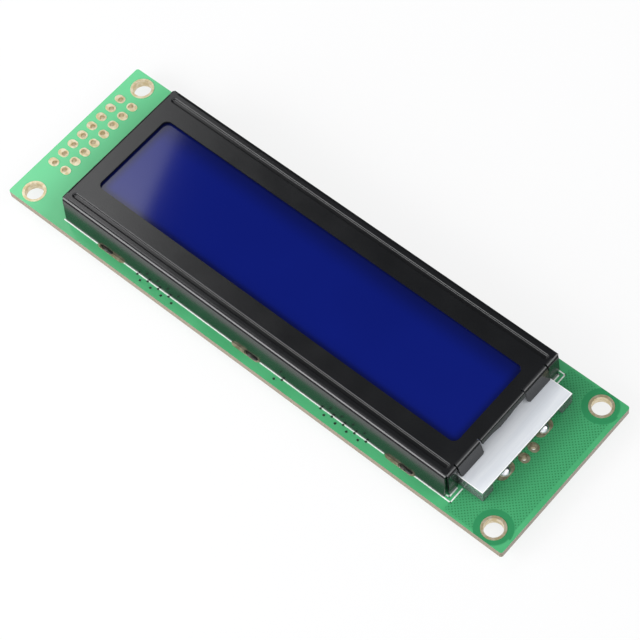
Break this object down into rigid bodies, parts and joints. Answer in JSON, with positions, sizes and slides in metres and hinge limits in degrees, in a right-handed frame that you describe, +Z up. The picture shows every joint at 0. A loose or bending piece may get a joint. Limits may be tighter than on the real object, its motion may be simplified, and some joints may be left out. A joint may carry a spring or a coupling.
{
  "type": "character lcd module",
  "caption": "Blue character LCD in a folded black steel bezel with an edge-lit backlight, on a green circuit board with header holes and corner screw holes",
  "frame": {"origin": "Middle of the circuit board's outline in plan, at the height of the bezel lugs' tips, on which the module rests.", "axes": "+X runs along the board from the header end to the backlight's lamp end, +Y across the board towards its back edge, and +Z up out of the display's face."},
  "size_m": [0.115, 0.0346, 0.01],
  "materials": {
    "green_laminate": "glass-epoxy laminate with semi-gloss green solder mask",
    "tinned_copper": "pale gold tinned copper plating",
    "black_steel": "thin steel sheet with smooth semi-gloss black paint",
    "polarizer": "glossy polarizer film, deep blue over the cell",
    "cell_glass": "clear float glass",
    "resin": "cured clear-yellow resin",
    "contact_rubber": "grey layered silicone rubber",
    "white_film": "matte white film",
    "clear_acrylic": "clear cast acrylic with sawn edges",
    "silver_film": "satin silver-white film",
    "lamp_laminate": "white laminate",
    "solder": "bright solder and tinned metal",
    "lamp_body": "pale yellow phosphor resin",
    "silicon": "polished silicon",
    "black_epoxy": "cured black epoxy, smooth and satin",
    "chip_black": "black glaze on ceramic",
    "chip_tan": "tan fired ceramic"
  },
  "bodies": {
    "root": {"circuit_board": "green_laminate", "screw_hole_plating": "tinned_copper", "header_plating": "tinned_copper", "spare_lead_plating": "tinned_copper", "lamp_pin_plating": "tinned_copper", "lug_slot_plating": "tinned_copper", "strip_contacts": "tinned_copper", "bezel": "black_steel", "front_polarizer": "polarizer", "front_glass": "cell_glass", "fill_port_plug": "resin", "rear_glass": "cell_glass", "rear_polarizer": "polarizer", "contact_strip_front": "contact_rubber", "contact_strip_back": "contact_rubber", "diffuser_film": "white_film", "light_guide": "clear_acrylic", "reflector_sheet": "white_film", "cover_film": "silver_film", "lamp_board": "lamp_laminate", "lamp_pins": "solder", "lamps": "lamp_body", "lamp_pin_solder": "solder", "controller_die": "silicon", "controller_cap": "black_epoxy", "driver_die": "silicon", "driver_cap": "black_epoxy", "chip_resistors": "chip_black", "chip_capacitors": "chip_tan", "chip_terminals": "solder"}
  },
  "joints": []
}
